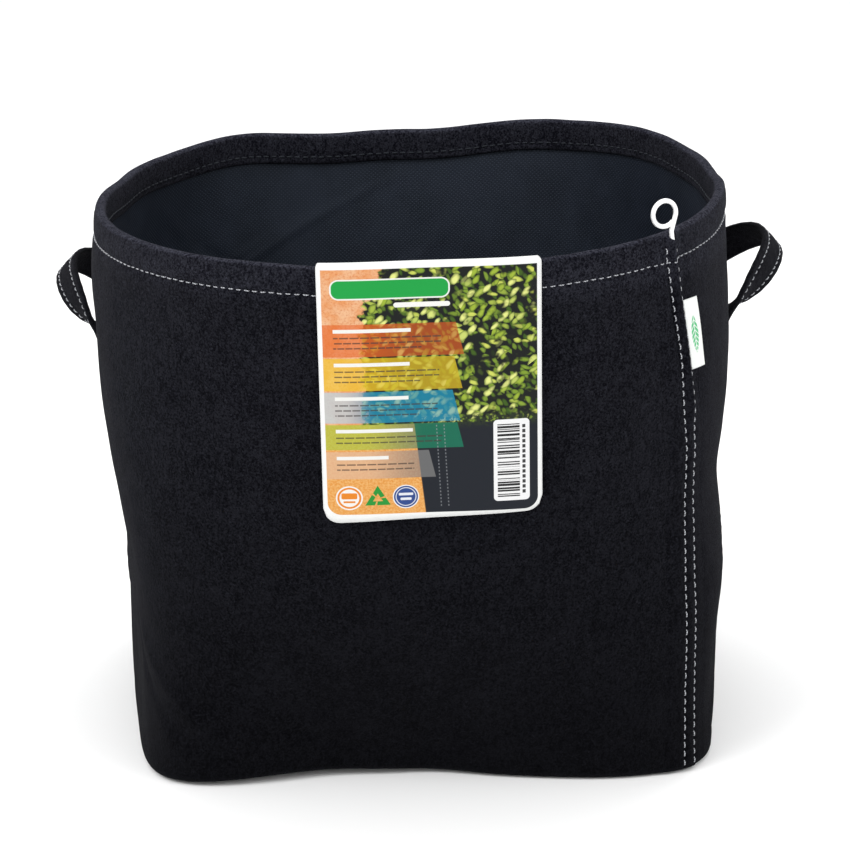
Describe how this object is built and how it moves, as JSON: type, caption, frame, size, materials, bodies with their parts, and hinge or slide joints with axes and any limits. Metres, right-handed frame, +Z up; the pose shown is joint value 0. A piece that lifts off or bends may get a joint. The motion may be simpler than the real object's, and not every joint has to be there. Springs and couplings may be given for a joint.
{
  "type": "fabric grow bag",
  "caption": "Soft felt planting bag with a squarish base, stitched rim hem, spunbond lining, side carrying handles, a wire hook in a seam sleeve and a folded hang card.",
  "frame": {"origin": "middle of the underside of the base, on the surface the bag stands on", "axes": "+Z up out of the mouth, -Y towards the hang card, +X towards the right handle"},
  "size_m": [0.4038, 0.3535, 0.3094],
  "materials": {
    "black_felt": "matte needle-punched felt",
    "strap_felt": "matte pressed felt strap",
    "spunbond_lining": "spunbond with a small diamond emboss",
    "white_thread": "polyester sewing thread",
    "dark_thread": "polyester sewing thread",
    "galvanised_wire": "bright galvanised",
    "woven_label": "white woven satin label",
    "printed_card": "gloss printed card"
  },
  "bodies": {
    "bag": {"outer_wall": "black_felt", "inner_lining": "spunbond_lining", "base_panel": "black_felt", "base_margin": "black_felt", "base_lining": "spunbond_lining", "base_seam_stitching": "white_thread", "rim_stitching": "white_thread", "rim_bobbin_thread": "dark_thread", "seam_sleeve": "black_felt", "seam_stitching_left": "white_thread", "seam_stitching_right": "white_thread", "handle_right_ends": "strap_felt", "handle_right_tacks": "white_thread", "handle_left_ends": "strap_felt", "handle_left_tacks": "white_thread"},
    "right_loop": {"handle_right": "strap_felt", "handle_right_stitching": "white_thread"},
    "left_loop": {"handle_left": "strap_felt", "handle_left_stitching": "white_thread"},
    "hook": {"hook_wire": "galvanised_wire"},
    "tag": {"woven_tag": "woven_label"},
    "card": {"hang_card": "printed_card"}
  },
  "joints": [
    {"name": "right_handle_swing", "type": "hinge", "parent": "bag", "child": "right_loop", "pos_m": [0.15955, 0.0512, 0.21657], "axis": [-0.163, 0.9865, 0.0179], "range_deg": [-25, 45]},
    {"name": "left_handle_swing", "type": "hinge", "parent": "bag", "child": "left_loop", "pos_m": [-0.16501, 0.04836, 0.20571], "axis": [0.131, 0.9912, -0.0182], "range_deg": [-45, 25]},
    {"name": "hook_slide", "type": "slide", "parent": "bag", "child": "hook", "axis": [-0.1495, -0.092, 0.9845], "range_m": [0, 0.06]},
    {"name": "tag_flap", "type": "hinge", "parent": "bag", "child": "tag", "pos_m": [0.13319, -0.11938, 0.23842], "axis": [-0.1648, -0.0799, 0.9831], "range_deg": [-85, 0]},
    {"name": "card_lift", "type": "slide", "parent": "bag", "child": "card", "axis": [-0.0199, -0.0847, 0.9962], "range_m": [0, 0.15]}
  ]
}
